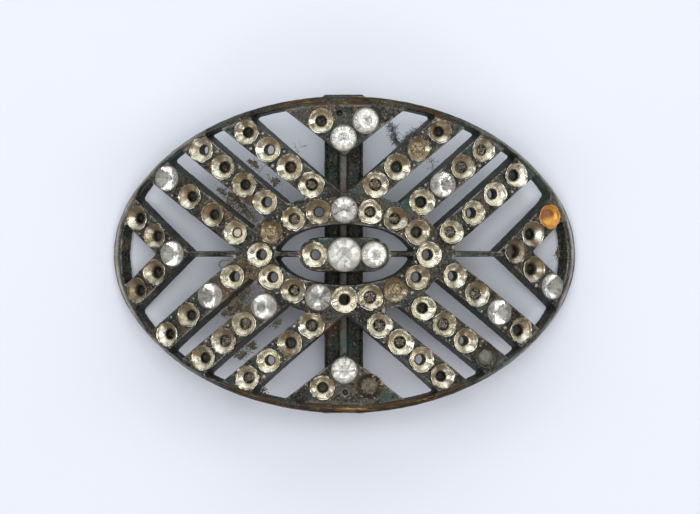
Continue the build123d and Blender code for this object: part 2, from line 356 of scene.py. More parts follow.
def shape_casting(data):
    """Rounds the rim, sinks its groove and the uneven skin, and swells the tips to keep their reach."""
    normals, points = points_of(data, "normal"), points_of(data)
    along, across, depth, seen_x = unroll(points).T
    inward = inside_rim(along, across, seen_x)
    turn = np.stack([seen_x / HALF_LENGTH**2, across / HALF_WIDTH**2], 1)
    turn /= np.linalg.norm(turn, axis=1, keepdims=True) + 1e-9
    outward_leg = (np.abs(points[:, 0] - LEG_X) < LEG_HALF_WIDTH) & (depth > RIM_ROUND)
    new_inward, new_depth = rounded_corner(inward, depth, RIM_ROUND)
    back_inward, back_rise = rounded_corner(new_inward, RIM_DEPTH - new_depth, RIM_BACK_ROUND)
    step = np.where(outward_leg, 0, back_inward - inward)
    new_depth = np.where(outward_leg, depth, RIM_DEPTH - back_rise)
    new_depth += GROOVE_DEEP * ridge(inward, GROOVE_IN, GROOVE_WIDTH) * (depth < AT_FACE)
    along, across = along - step * turn[:, 0], across - step * turn[:, 1]
    swell = TIP_SWELL * (1 - smooth(0.5 * MM, 1.5 * MM, inward)) * smooth(0.7, 1.0, np.abs(turn[:, 0]))
    along += swell * np.sign(seen_x)
    points = roll_up(along, across, new_depth)
    waves = np.clip(0.5 + 0.5 * clouds(points, SKIN_WAVE, seed=3), 0, 1)
    grains = np.clip(0.5 + 0.9 * clouds(points, SKIN_GRAIN, 2, seed=11), 0, 1)
    sunk = SKIN_WAVE_DEEP * waves + SKIN_GRAIN_DEEP * grains
    points -= normals * sunk[:, None]
    points[:, 2] = np.maximum(points[:, 2], TABLE_CLEAR)
    return points


def set_points(data, points):
    """Moves the points of a mesh."""
    data.vertices.foreach_set("co", np.asarray(points, np.float32).ravel())
    data.update()


with_modifier(metal, "SMOOTH", factor=0.5, iterations=2)
set_points(metal.data, shape_casting(metal.data))
share = MOST_TRIANGLES / (2 * len(metal.data.polygons))
with_modifier(metal, "DECIMATE", ratio=min(1, share))
print("casting thinned to", len(metal.data.polygons), "faces")

# %% [markdown]
# Rubbing brightens what stands proud, and dirt stays in what lies low. So each point of the
# casting gets four amounts: rubbed edge, brass showing through, brown dirt and green rust of
# copper. The rubbed amount also holds painted light. The pale line along the edges of the
# openings and the crest line of the rim's roll are wear and painted highlight together. The
# brighter sides of the roll, the lip of its groove and the strap bar's rib are painted
# highlights, and less of it in the groove is painted shade. They are worked out from where the
# point lies: near an edge of an opening, on the outer roll of the rim, beside a cup, or near one
# of the few green spots.

# %% Measure wear and dirt
EDGE_LINE, CUP_BORDER = (0.05 * MM, 0.17 * MM), (1.75 * MM, 2.4 * MM)
# x, y and reach of each green spot in millimetres, as seen from above
GREEN_SPOTS = [
    (-22.4, 12.3, 1.7), (-2.3, 1.9, 1.0), (25.5, 10.5, 3.4), (17.2, -7.4, 1.4), (-15.0, 15.5, 1.2),
    (0.3, -11.5, 1.6), (7.5, 6.5, 1.6), (-12.0, -18.2, 3.0), (-3.0, 11.5, 2.0), (21.0, -14.0, 1.6),
    (9.5, 13.2, 2.0), (17.0, 9.0, 1.6), (15.5, 14.5, 2.2), (22.0, 5.8, 1.8), (5.5, -18.9, 2.0),
]
# the same for edges where the pale line of wear and painted highlight is strongest
BRIGHT_EDGE_SPOTS = [
    (5.2, -16.8, 1.1), (6.8, -18.2, 1.1), (8.6, -13.0, 1.6), (13.5, -13.6, 1.6), (-16.5, 9.6, 1.4),
    (5.5, 11.6, 1.6), (16.0, 6.0, 1.5), (-6.0, -13.0, 1.5), (20.5, -14.0, 1.2), (-9.0, 15.4, 1.4),
]
# the same for brown dirt
DIRT_SPOTS = [
    (-13.2, -3.4, 2.4), (-11.3, -1.9, 1.6), (-13.4, -7.2, 2.2), (-14.2, 6.6, 2.0), (-1.8, -9.4, 1.4),
    (-9.2, -8.0, 1.3), (3.2, -16.8, 2.2), (27.4, 0.0, 1.6), (-9.5, -17.3, 1.2), (10.6, 12.8, 1.3),
    (-2.0, 18.6, 1.0), (-13.0, -8.2, 1.6), (-15.2, -5.2, 1.6),
]


def spots(list_of_spots, seen_x, across):
    """1 in the middle of each spot, fading away from it."""
    total = np.zeros(len(seen_x))
    for x, y, reach in list_of_spots:
        away = np.hypot(seen_x - x * MM, across - y * MM) / (reach * MM)
        total = np.maximum(total, np.exp(-(away**2)))
    return total


def casting_finish(data):
    """Rubbed wear with painted highlights and shade, brass, dirt and green of every point of the casting.
    """
    points = points_of(data)
    along, across, depth, seen_x = unroll(points).T
    inward = inside_rim(along, across, seen_x)
    patches = clouds(points, 2.4 * MM, seed=21)
    specks = clouds(points, 0.45 * MM, 2, seed=5)
    near_face = depth < 0.45 * MM
    edge = np.full(len(points), 1.0)
    for number in np.flatnonzero(near_face):
        edge[number] = edge_tree.find(points[number])[2]
    bright_edge_here = spots(BRIGHT_EDGE_SPOTS, seen_x, across)
    # pale line along the edges of the openings: edge wear and a painted highlight of the edge together
    line = (1 - smooth(*EDGE_LINE, edge)) * np.maximum(
        smooth(-0.4, 0.3, patches + 0.6 * specks), bright_edge_here)
    height = across / HALF_WIDTH
    warm = smooth(0.70, 0.97, -height) + 0.80 * smooth(0.70, 0.97, height)
    width = (0.70 + 0.35 * warm) * MM
    roll = (1 - smooth(0, 0.3 * MM, inward - width)) * (1 - smooth(0.9 * MM, 1.3 * MM, depth))
    around = np.arctan2(across / HALF_WIDTH, seen_x / HALF_LENGTH)
    streaks = clouds(np.stack([around * 6 * MM, inward * 2, depth * 2], 1), 0.8 * MM, 3, seed=41)
    # the crest of the rim's roll: a pale line of painted highlight and wear together
    crest = ridge(inward, CREST_IN, CREST_WIDTH) * (depth < RIM_ROUND)
    # the roll is painted paler towards the left and right tips: painted highlight
    sides = 0.40 * smooth(0.45, 0.95, np.abs(seen_x) / HALF_LENGTH) * (0.4 + 0.6 * crest)
    # a thin pale line on the inner lip of the groove: painted highlight
    lips = ridge(inward, GROOVE_LIP_IN, GROOVE_LIP_WIDTH) * (depth < AT_FACE)
    # the crest line and the groove's lip line: painted highlights, with wear in the crest
    crest_and_lip_highlights = 0.35 * crest * (1 - warm) + 0.40 * lips * smooth(-0.4, 0.4, streaks)
    rubbed_and_highlit = np.clip(1.1 * line + roll * (sides + 0.45 * streaks) + crest_and_lip_highlights, 0, 1)
    # the groove is painted darker: painted shade
    rubbed_and_highlit *= 1 - 0.8 * ridge(inward, GROOVE_IN, GROOVE_WIDTH) * near_face
    brass = np.clip(roll * warm * (0.30 + 1.0 * streaks), 0, 1)
    places = np.array([(x, y) for x, y, kind, radius in cups])
    gap = np.min(np.hypot(
        seen_x[:, None] - places[None, :, 0], across[:, None] - places[None, :, 1]), axis=1)
    beside_cup = (1 - smooth(*CUP_BORDER, gap)) * (depth < AT_FACE)
    dirt_and_shade = 0.55 * beside_cup * (0.5 + specks) + 0.7 * smooth(0.25, 0.85, patches)
    dirt_and_shade += spots(DIRT_SPOTS, seen_x, across) * (0.75 + 0.5 * specks)
    on_leg = (np.abs(points[:, 0] - LEG_X) < LEG_HALF_WIDTH) & (depth > RIM_DEPTH)
    dirt_and_shade += 0.20 * on_leg
    on_rib = on_leg * (np.abs(across) < RIB_HALF_LENGTH)
    # the middle of the strap bar's rib is painted lighter: painted highlight
    rubbed_and_highlit += 0.30 * on_rib * (1 - smooth(0.30 * MM, 0.50 * MM, np.abs(points[:, 0] - LEG_X)))
    green = spots(GREEN_SPOTS, seen_x, across) * smooth(-0.5, 0.4, specks + 0.6 * patches)
    return np.clip(np.stack([rubbed_and_highlit, brass, dirt_and_shade, green], 1), 0, 1)


metal_finish = casting_finish(metal.data)
set_finish(metal.data, metal_finish)
metal.data.polygons.foreach_set("use_smooth", [True] * len(metal.data.polygons))
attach(metal, "root")
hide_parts("frame")
print("mean rubbed, brass, dirt, green:", metal_finish.mean(0).round(3))

# %% [markdown]
# Each empty cup is lined with thin bright foil, pressed in like a dish with a hole in its middle.
# A lining is a profile turned round the cup's axis. Its lip is uneven, and shallow creases run
# down it, which break the highlights into short radial streaks as on the buckle.

# %% Line the empty cups
SEGMENTS = 44
# radius and height above the face in millimetres: up inside from the hole, over the lip, and back
LINING_PROFILE = [
    (0.57, -1.32), (0.57, -1.04), (0.60, -0.88), (0.71, -0.72), (0.88, -0.54), (1.07, -0.38),
    (1.26, -0.24), (1.42, -0.13), (1.54, -0.02), (1.61, 0.07), (1.66, 0.08), (1.70, 0.01),
    (1.66, -0.12), (1.20, -0.48), (0.72, -0.96), (0.66, -1.32),
]
CREASED = slice(3, 9)
LIP = slice(8, 12)
OUTER_SEAM = 11
turns = np.arange(SEGMENTS) * 2 * math.pi / SEGMENTS
# brown, rust, dirt of the lining for each letter
LINING_STAINS = {
    "o": (0.30, 0.0, 0.10), "d": (0.42, 0.0, 0.25), "r": (0.40, 0.0, 0.30), "g": (0.40, 0.0, 0.20),
    "c": (0.65, 0.1, 0.50), "u": (0.20, 1.0, 0.05), "p": (0.62, 0.0, 0.35), "k": (0.55, 0.0, 0.50),
    "b": (0.55, 0.0, 0.80), "x": (0.80, 0.0, 0.85),
}
# painted shade on the upper half of each cup, and painted light on its side towards the middle of the
# buckle
UPPER_HALF_SHADE, INNER_SIDE_LIGHTER = 0.30, 0.45
LIP_HEIGHT, WALL_HEIGHT = (-0.12 * MM, 0.03 * MM), (-0.95 * MM, -0.40 * MM)


def wavy(strength, waves):
    """A random even-running wave round the cup, with a few of these numbers of waves."""
    total = np.zeros(SEGMENTS)
    for count in waves:
        total += random.normal() * np.sin(count * turns + random.uniform(0, 2 * math.pi))
    return strength * total / math.sqrt(len(waves))


def lining_shape(radius):
    """Points of one lining on its own axis, as rings, and the height of each."""
    scale = radius / CUP_RADIUS
    profile = np.array(LINING_PROFILE) * MM
    reach = np.repeat(profile[:, :1] * scale, SEGMENTS, axis=1)
    height = np.repeat(profile[:, 1:] * scale, SEGMENTS, axis=1)
    height[CREASED] += wavy(0.018 * MM, (9, 11, 14, 5)) + wavy(0.025 * MM, (2, 3))
    reach[LIP] += wavy(0.050 * MM, (2, 3, 5, 7, 10, 16)) - random.uniform(0, 0.10) * MM
    height[LIP] += wavy(0.045 * MM, (2, 3, 5, 8, 12, 17))
    return turned(reach, height, turns).reshape(-1, 3), height.ravel()


linings = Gathered()
lining_faces = wrapped_grid(len(LINING_PROFILE), SEGMENTS, closed=True)
for x, y, kind, radius in cups:
    if kind == "S":
        continue
    brown_and_shade, rust, dirt_and_shade = LINING_STAINS[kind]
    brown_and_shade += random.normal() * 0.12 + 0.20 * abs(x) / HALF_LENGTH
    points, height = lining_shape(radius * random.uniform(0.955, 1.03))
    spin = random.uniform(0, 2 * math.pi)
    turned_by = np.arctan2(points[:, 1], points[:, 0]) + spin
    # more brown towards the upper side of each cup: painted shade
    up_side = np.sin(turned_by + random.normal() * 0.4)
    # less brown and dirt on the side towards the middle of the buckle: painted light
    inner_side = np.maximum(-np.cos(turned_by) * x / HALF_LENGTH, 0)
    lip = smooth(*LIP_HEIGHT, height)
    # darker deep down towards the hole and under the lip's outer edge: painted shade and dirt together
    deep = 1 - smooth(*WALL_HEIGHT, height)
    deep[OUTER_SEAM * SEGMENTS:] = 1
    patches = np.tile(wavy(0.22, (1, 2, 3, 5)), len(LINING_PROFILE))
    ragged = lip * np.tile(wavy(0.50, (2, 3, 4, 7, 11, 16)), len(LINING_PROFILE))
    finish = np.stack([
        np.clip(brown_and_shade + UPPER_HALF_SHADE * up_side - INNER_SIDE_LIGHTER * inner_side + patches
                + ragged + 0.3 * lip, 0, 1), lip * 0 + rust,
        np.clip(dirt_and_shade - 0.2 * inner_side + 0.75 * deep + 0.4 * ragged + 0.22 * lip, 0, 1), lip], 1)
    linings.add(placed(seat(x, y, spin=spin), points), lining_faces, finish)
cup_linings = linings.mesh("cup_linings", "dark_metal")

# %% [markdown]
# The stones are the solids' own cut glass. Under each lies a faceted cup of foil, as close as
# paper, which throws the light back through the crown, and round its edge a thin collar of metal
# is rubbed over the girdle. Both are turned shapes too, the foil with the stone's sixteen sides.

# %% Foil and collar of every stone
STONE_GAP, PAVILION_ANGLE, PAVILION_SIDES = 0.06 * MM, math.radians(43), 16
COLLAR_PROFILE = [
    (1.50, -0.02), (1.53, 0.09), (1.58, 0.14), (1.66, 0.13), (1.71, 0.07), (1.72, -0.05),
    (1.66, -0.16), (1.57, -0.12),
]
COLLAR_TOP = slice(1, 5)
FOIL_SEGMENTS, FOIL_AIR, FOIL_THICKNESS = 64, 0.008 * MM, 0.012 * MM
FOIL_RINGS = (0.02, 0.15, 0.3, 0.45, 0.6, 0.97)


def foil_cup(radius):
    """A thin closed cup that follows the back facets of a stone, with its streaks and a middle darkened as
    painted shade.
    """
    turn = np.arange(FOIL_SEGMENTS) * 2 * math.pi / FOIL_SEGMENTS
    step = 2 * math.pi / PAVILION_SIDES
    off_side = (turn + step / 2) % step - step / 2
    streaks = 1.3 * random.uniform(size=FOIL_SEGMENTS) ** 1.5
    rings, finish = [], []
    for air, shares in ((FOIL_AIR, FOIL_RINGS), (FOIL_AIR + FOIL_THICKNESS, FOIL_RINGS[::-1])):
        for share in shares:
            reach = radius * share
            fall = (radius - reach * np.cos(off_side)) * math.tan(PAVILION_ANGLE)
            height = -fall - air / math.cos(PAVILION_ANGLE)
            rings.append(turned(reach, height, turn))
            # the middle of the foil under each stone is darker: painted shade
            centre = 1.2 * (1 - smooth(0.0, 0.6, share))
            finish.append(np.stack([streaks, streaks * 0, streaks * 0 + centre, streaks * 0], 1))
    faces = wrapped_grid(len(rings), FOIL_SEGMENTS, closed=True)
    return np.concatenate(rings), faces, np.concatenate(finish)


stone_foils, collars = Gathered(), Gathered()
collar_faces = wrapped_grid(len(COLLAR_PROFILE), SEGMENTS, closed=True)
for x, y, kind, radius in cups:
    if kind != "S":
        continue
    points, faces, finish = foil_cup(radius - STONE_GAP)
    stone_foils.add(placed(seat(x, y), points), faces, finish)
    reach, height = np.array(COLLAR_PROFILE).T[:, :, None] * MM * (radius / CUP_RADIUS)
    rings = turned(reach, height, turns)
    rings[COLLAR_TOP, :, 2] += wavy(0.03 * MM, (3, 6, 11, 16))
    collars.add(placed(seat(x, y), rings.reshape(-1, 3)), collar_faces, (0.5, 0, 0.3, 1))
stone_foil = stone_foils.mesh("stone_foils", "dark_metal")
stone_collars = collars.mesh("stone_collars", "dark_metal")

# %% [markdown]
# Between two cups the founder left small raised grains of metal at each side of the bar. They
# help to hold the stones, and today they are its brightest points. Each is a low dome with a
# slightly random shape, sunk a little into the face. Torn crumbs of foil stick beside the lips.

# %% Grains and crumbs between the cups
GRAIN_OUT, GRAIN_RADIUS = 1.28 * MM, 0.20 * MM
BAR_CHANCE, RING_CHANCE = 0.35, 0.5


def blob(radii, roughness, detail, seed, subdivisions=3):
    """Points and faces of a closed lump with these three radii."""
    work = bmesh.new()
    bmesh.ops.create_icosphere(work, subdivisions=subdivisions, radius=1.0)
    points = np.array([vertex.co for vertex in work.verts])
    faces = [tuple(vertex.index for vertex in face.verts) for face in work.faces]
    work.free()
    lumps = clouds(points, detail, 2, seed)
    return points * (1 + roughness * lumps[:, None]) * np.array(radii), faces


CRUMB_SHAPES = [blob((1, 1, 1), 0.45, 0.8, number * 7.3, 2) for number in range(7)]
DUST_SHAPES = [blob((1, 1, 1), 0.50, 0.8, number * 5.1, 1) for number in range(7)]


def scatter(crumbs, matrix, places, sizes, finish, shapes=CRUMB_SHAPES):
    """Adds a crumb of each size at its place on the patch that the matrix stands for."""
    for place, size in zip(places, sizes):
        points, faces = shapes[random.integers(len(shapes))]
        turn = np.array(Matrix.Rotation(random.uniform(0, 2 * math.pi), 3, random.normal(size=3)))
        radii = size * random.uniform(0.6, 1.3, 3)
        crumbs.add(placed(matrix, (points * radii) @ turn.T + place), faces, finish)


def add_grains(grains, first, second, chance):
    """Adds a grain, by this chance, at each side of the gap between two cups."""
    first, second = np.array(first[:2]), np.array(second[:2])
    run, middle = second - first, (first + second) / 2
    side = np.array([-run[1], run[0]]) / np.linalg.norm(run)
    for direction in (-1, 1):
        if random.uniform() > chance:
            continue
        x, y = middle + side * direction * GRAIN_OUT * random.uniform(0.85, 1.08)
        radius = GRAIN_RADIUS * random.uniform(0.6, 1.25)
        radii = radius * random.uniform(0.8, 1.2), radius * random.uniform(0.8, 1.2), radius * 0.75
        points, faces = blob(radii, 0.16, 0.7, random.uniform(0, 50), 2)
        matrix = seat(x, y, sink=-0.02 * MM, spin=random.uniform(0, math.pi))
        grains.add(placed(matrix, points), faces, (0.8, 0, 0.1, 1))


grains = Gathered()
for row in rows:
    for first, second in zip(row, row[1:]):
        add_grains(grains, first, second, BAR_CHANCE)
for first, second in zip(ring, ring[1:] + ring[:1]):
    add_grains(grains, first, second, RING_CHANCE)
bar_grains = grains.mesh("bar_grains", "dark_metal")

crumbs = Gathered()
for x, y, kind, radius in cups:
    if kind == "S":
        continue
    count = random.integers(2, 9)
    angle = random.uniform(0, 2 * math.pi) + random.normal(size=count) * 0.6
    reach = radius * random.uniform(1.00, 1.10, count)
    places = turned(reach, 0.02 * MM, angle)
    scatter(crumbs, seat(x, y), places, random.uniform(0.05, 0.12, count) * MM, (0.9, 0, 0.1, 1))
foil_crumbs = crumbs.mesh("foil_crumbs", "dark_metal")

# %% [markdown]
# Some cups hold what was dropped or grew in them: a shiny crumpled scab over the hole, a smooth
# pale drop, or a crust that fills the cup. All are lumpy flattened balls, sunk in the cup.

# %% Residue in the cups
residue, drops, crusts = Gathered(), Gathered(), Gathered()
# letter: gatherer, half sizes and depth under the face in millimetres, its least share of the
# length and width, roughness, size of its bumps, subdivisions and finish
LUMPS = {
    "r": (residue, (0.80, 0.68, 0.26), 0.92, 0.55 / 0.80, 0.60, 0.50, 4, (1, 0.1, 0.3, 0)),
    "g": (drops, (0.60, 0.57, 0.30), 0.86, 0.48 / 0.60, 0.10, 0.80, 3, (0.2, 0.3, 0, 0)),
    "c": (crusts, (1.10, 1.045, 0.36), 0.72, 0.90 / 1.10, 0.50, 0.42, 4, (0.8, 0, 0.3, 0)),
    "x": (crusts, (1.30, 1.22, 0.55), 0.50, 1, 0.42, 0.34, 4, (0.2, 0, 0.85, 0)),
    "b": (crusts, (1.02, 0.98, 0.50), 0.42, 1, 0.20, 0.34, 4, (0.1, 0, 0.2, 1)),
    "k": (crusts, (0.55, 1.15, 0.40), 0.50, 1, 0.35, 0.40, 4, (0.2, 0, 1, 0)),
    "u": (crusts, (1.24, 1.22, 0.22), 0.56, 1, 0.10, 0.60, 4, (0, 1, 0, 0)),
}
NOT_TURNED, DIRT_ASIDE, BLACK_CRUMBS = "uk", 0.75 * MM, 26
for x, y, kind, radius in cups:
    spin, seed = random.uniform(0, 2 * math.pi), random.uniform(0, 90)
    if kind not in LUMPS:
        continue
    lumps, radii, deep, least, roughness, bumps, subdivisions, finish = LUMPS[kind]
    share = random.uniform(least, 1) if least < 1 else 1
    radii = np.array(radii) * (share, share, 1) * MM
    points, faces = blob(radii, roughness, bumps, seed, subdivisions)
    if kind == "u":
        # the lower side of the rust crust is painted lighter: painted light
        lit = smooth(-0.2, 0.6, (0.3 * points[:, 0] - points[:, 1]) / radii[0])
        finish = lit[:, None] * (1, 0, 0, 0) + finish
    middle = x - DIRT_ASIDE if kind == "k" else x
    matrix = seat(middle, y, deep * MM, 0 if kind in NOT_TURNED else spin)
    lumps.add(placed(matrix, points), faces, finish)
    if kind == "x":
        angle = random.uniform(-0.3, 1.3, BLACK_CRUMBS)
        places = turned(random.uniform(1.15, 1.75, BLACK_CRUMBS) * MM, 0.03 * MM, angle)
        sizes = random.uniform(0.06, 0.15, BLACK_CRUMBS) * MM
        scatter(crusts, seat(x, y), places, sizes, (1, 0, 0, 0))
residue_scabs = residue.mesh("residue_scabs", "dark_metal")
dried_drops = drops.mesh("dried_drops", "dark_metal")
cup_crusts = crusts.mesh("cup_crusts", "dark_metal")

# %% [markdown]
# Dirt has also gathered in some of the slots, where torn clumps, crumbs and fibres cling to the
# walls, and tufts of lint are caught on the metal near the top. A fibre is a round tube finer
# than a hair that wanders as it goes, and the tufts need a few hundred of them.

# %% Fibres
FIBRE_RADIUS, FIBRE_STEPS, FIBRE_SIDES = 0.018 * MM, 12, 5


def fibre(start, length, curl):
    """Centre points of a fibre that wanders as it goes, seen on its own flat patch."""
    heading, tilt = random.uniform(0, 2 * math.pi), random.normal() * 0.35
    points, place = [], np.array(start, float)
    for _ in range(FIBRE_STEPS):
        points.append(place.copy())
        heading += random.normal() * curl
        tilt = 0.8 * tilt + random.normal() * 0.2
        step = np.array([math.cos(heading), math.sin(heading), math.sin(tilt)])
        place += step * length / FIBRE_STEPS
    return np.array(points)


def tube(points, radius, sides):
    """Closed round tube along the points, tapered at both ends."""
    along = np.gradient(points, axis=0)
    along /= np.linalg.norm(along, axis=1, keepdims=True) + 1e-12
    side = np.cross(along, (0.31, 0.17, 0.93))
    side /= np.linalg.norm(side, axis=1, keepdims=True) + 1e-12
    up = np.cross(along, side)
    turn = np.arange(sides) * 2 * math.pi / sides
    taper = np.sqrt(np.sin(np.linspace(0.12, math.pi - 0.12, len(points))))
    rings = points[:, None] + (radius * taper)[:, None, None] * (
        side[:, None] * np.cos(turn)[None, :, None] + up[:, None] * np.sin(turn)[None, :, None])
    faces = wrapped_grid(len(points), sides, closed=False)
    last = (len(points) - 1) * sides
    faces += [tuple(range(sides))[::-1], tuple(range(last, last + sides))]
    return rings.reshape(-1, 3), faces


print("fibres of", FIBRE_STEPS * FIBRE_SIDES, "points")

# %% Dirt in the slots
# x, y seen from above, turn in degrees, half length, half width, depth in millimetres
SLOT_DIRT = [
    (-14.6, 7.0, -39, 1.4, 0.85, 0.9), (-13.2, 5.7, -39, 1.3, 0.75, 1.2), (-12.2, 4.9, -39, 0.9, 0.5, 0.8),
    (-16.0, 8.1, -39, 0.8, 0.45, 0.8), (-11.7, 11.5, -39, 0.9, 0.5, 0.8), (-9.0, 9.4, -39, 0.9, 0.55, 0.9),
    (-15.0, -7.1, 38, 1.5, 0.8, 0.7), (-13.6, -6.0, 38, 1.7, 0.95, 0.5), (-12.5, -4.8, 38, 0.9, 0.7, 0.4),
    (-13.3, -12.6, 38, 1.1, 0.70, 0.9), (-12.2, -11.7, 38, 0.8, 0.7, 1.1), (-8.7, -8.7, 38, 0.8, 0.5, 0.8),
    (-10.4, -17.3, 60, 0.6, 0.4, 0.6), (28.0, 0.2, 80, 0.9, 0.40, 0.6), (-20.6, 0.9, 60, 0.7, 0.35, 0.4),
]
CLUMPS, DUST_PER_MM2, FIBRES_PER_MM2, DIRT_THICKNESS = 4, 60, 30, 0.32
films = Gathered()
for x, y, turn, half_long, half_wide, deep in SLOT_DIRT:
    matrix = seat(x * MM, y * MM, deep * MM, math.radians(turn))
    half = np.array([half_long, half_wide, DIRT_THICKNESS]) * MM
    area = half_long * half_wide
    for _ in range(CLUMPS):
        radii = half * random.uniform(0.18, 0.42, 3)
        points, faces = blob(radii, 0.90, 0.45, random.uniform(0, 90), 3)
        points += random.normal(size=3) * half * 0.35
        films.add(placed(matrix, points), faces, (0.3, 0, 0, 0))
    for pale in (0.0, 0.35, 0.9):
        count = int(DUST_PER_MM2 * area * (1 - 0.6 * pale))
        places = random.normal(size=(count, 3)) * half * 0.50
        sizes = random.uniform(0.03, 0.11, count) * MM
        scatter(films, matrix, places, sizes, (pale, 0, 0, 0), DUST_SHAPES)
    for _ in range(int(FIBRES_PER_MM2 * area)):
        line = fibre(random.normal(size=3) * half * 0.6, random.uniform(0.3, 1.3) * MM, 0.5)
        points, faces = tube(line, FIBRE_RADIUS, FIBRE_SIDES)
        films.add(placed(matrix, points), faces, (0, 0, 0, 0))
slot_dirt = films.mesh("slot_dirt", "dark_metal")

# %% Lint
# the places that each tuft runs through, seen from above, and its number of fibres
LINT_TUFTS = [
    ([(5.8, 16.6), (6.1, 15.8), (6.4, 14.8), (7.0, 13.6)], 240),
    ([(7.2, 13.7), (7.8, 14.6), (8.6, 15.3), (9.6, 15.7), (10.5, 16.2)], 380),
    ([(11.0, 12.3), (11.2, 11.4), (11.6, 10.8)], 26), ([(-6.2, 13.4), (-5.6, 13.9)], 8),
]
LINT_SPREAD = 0.20 * MM
lint = Gathered()
for run, count in LINT_TUFTS:
    run = np.array(run) * MM
    for at in random.uniform(0, len(run) - 1, count):
        x, y = (np.interp(at, range(len(run)), run[:, axis]) for axis in (0, 1))
        spread = LINT_SPREAD * random.uniform(0.2, 1.3)
        start = *(random.normal(size=2) * spread), -0.1 * MM
        line = fibre(start, random.uniform(0.4, 1.4) * MM, 0.8)
        points, faces = tube(line, FIBRE_RADIUS * random.uniform(0.7, 1.5), FIBRE_SIDES)
        lint.add(placed(seat(x, y), points), faces, (0, 0, 0.5, 0))
lint_tufts = lint.mesh("lint_tufts", "dark_metal")

# %% A small bent prong at the lower left of the ring
# along, across and height in millimetres on the flat patch beside the ring
PRONG_LINE = [(0.9, 0.5, -0.2), (0.5, 0.6, 0.15), (0.0, 0.6, 0.25), (-0.45, 0.35, 0.2),
              (-0.6, -0.1, 0.1), (-0.35, -0.4, 0.0), (-0.1, -0.3, 0.0)]
PRONG_PLACE, PRONG_RADIUS, PRONG_SIDES = (-15.4 * MM, -1.3 * MM), 0.11 * MM, 10
prong = Gathered()
points, faces = tube(np.array(PRONG_LINE) * MM, PRONG_RADIUS, PRONG_SIDES)
prong.add(placed(seat(*PRONG_PLACE), points), faces, (0.3, 0, 0.2, 1))
bent_prong = prong.mesh("bent_prong", "dark_metal")

# %% [markdown]
# A finish is a small graph of nodes. Two helpers keep it readable: a wire is a socket that can be
# written in sums, and a bench makes every other node from its type, its settings and what goes
# into its sockets. Colours are blended by a mask, as a painter glazes one coat over another.

# %% Wires and a bench for finishes
class Wire:
    """A socket of a material's graph that can be used in sums like a number."""

    def __init__(self, bench, socket):
        self.bench, self.socket = bench, socket

    def math(self, operation, first, second):
        return self.bench.node("Math", {"operation": operation}, {0: first, 1: second})

    def __add__(self, other):
        return self.math("ADD", self, other)

    def __sub__(self, other):
        return self.math("SUBTRACT", self, other)

    def __rsub__(self, other):
        return self.math("SUBTRACT", other, self)

    def __mul__(self, other):
        return self.math("MULTIPLY", self, other)

    __radd__, __rmul__ = __add__, __mul__

    def clamp(self):
        return self.bench.node("Clamp", {}, {"Value": self, "Min": 0.0, "Max": 1.0})

    def band(self, low, high):
        """0 below low, 1 above high."""
        sockets = {"Value": self, "From Min": low, "From Max": high}
        return self.bench.node("MapRange", {"interpolation_type": "SMOOTHSTEP"}, sockets)


class Bench:
    """One material: its graph, its shader and the places that its patterns are drawn in."""

    def __init__(self, name, **constants):
        self.material = bpy.data.materials.new(name)
        self.material.use_nodes = True
        self.tree = self.material.node_tree
        self.shader = self.tree.nodes["Principled BSDF"]
        self.put(self.shader, constants)
        self.place = self.node("TexCoord", {}, {}, "Object")

    def put(self, node, sockets):
        for name, value in sockets.items():
            socket = node.inputs[name]
            if isinstance(value, Wire):
                self.tree.links.new(value.socket, socket)
            elif isinstance(value, tuple) and len(value) == 3 and socket.type == "RGBA":
                socket.default_value = (*value, 1.0)
            else:
                socket.default_value = value

    def node(self, kind, settings, sockets, out=0):
        """Adds a node of this kind, its settings first, and gives the wire of one output."""
        node = self.tree.nodes.new("ShaderNode" + kind)
        for name, value in settings.items():
            setattr(node, name, value)
        self.put(node, sockets)
        return Wire(self, node.outputs[out])

    def grain(self, size, detail, roughness=0.55):
        """Noise from 0 to 1 whose lumps are about this many millimetres large."""
        pattern = {"Vector": self.place, "Scale": 1 / (size * MM)}
        return self.node("TexNoise", {}, {**pattern, "Detail": detail, "Roughness": roughness}, "Fac")

    def cells(self, size):
        """Distance to the nearest of many scattered points, in lumps of this many millimetres."""
        return self.node("TexVoronoi", {}, {"Vector": self.place, "Scale": 1 / (size * MM)}, "Distance")

    def amounts(self):
        """The four numbers that the mesh carries."""
        settings = {"attribute_type": "GEOMETRY", "attribute_name": "finish"}
        colour = self.node("Attribute", settings, {}, "Color")
        parts = [self.node("SeparateColor", {}, {"Color": colour}, out) for out in range(3)]
        return *parts, self.node("Attribute", settings, {}, "Alpha")

    def glaze(self, mask, under, over):
        """Colour under, covered by colour over where the mask is 1."""
        return self.node("Mix", {"data_type": "RGBA"}, {0: mask, 6: under, 7: over}, 2)

    def bump(self, height, distance):
        """Normal of a surface that rises by height times distance in millimetres."""
        return self.node("Bump", {}, {"Height": height, "Distance": distance * MM, "Strength": 1.0})

    def on(self, *pieces, **inputs):
        """Wires the shader and gives the material to the pieces."""
        self.put(self.shader, {name.replace("_", " "): value for name, value in inputs.items()})
        for piece in pieces:
            piece.data.materials.clear()
            piece.data.materials.append(self.material)


print("bench ready")

# %% [markdown]
# The casting is a copper alloy gone nearly black. Brown and grey tones lie over each other in
# clouds, dirt is matt, green rust sits in a few spots, and rubbed edges and the roll of the rim
# show a paler, pinkish grey that turns to brass along the top and the bottom. That pale grey
# also paints the highlights on the edges, on the sides and crest of the roll, on the groove's
# lip and on the strap bar's rib.

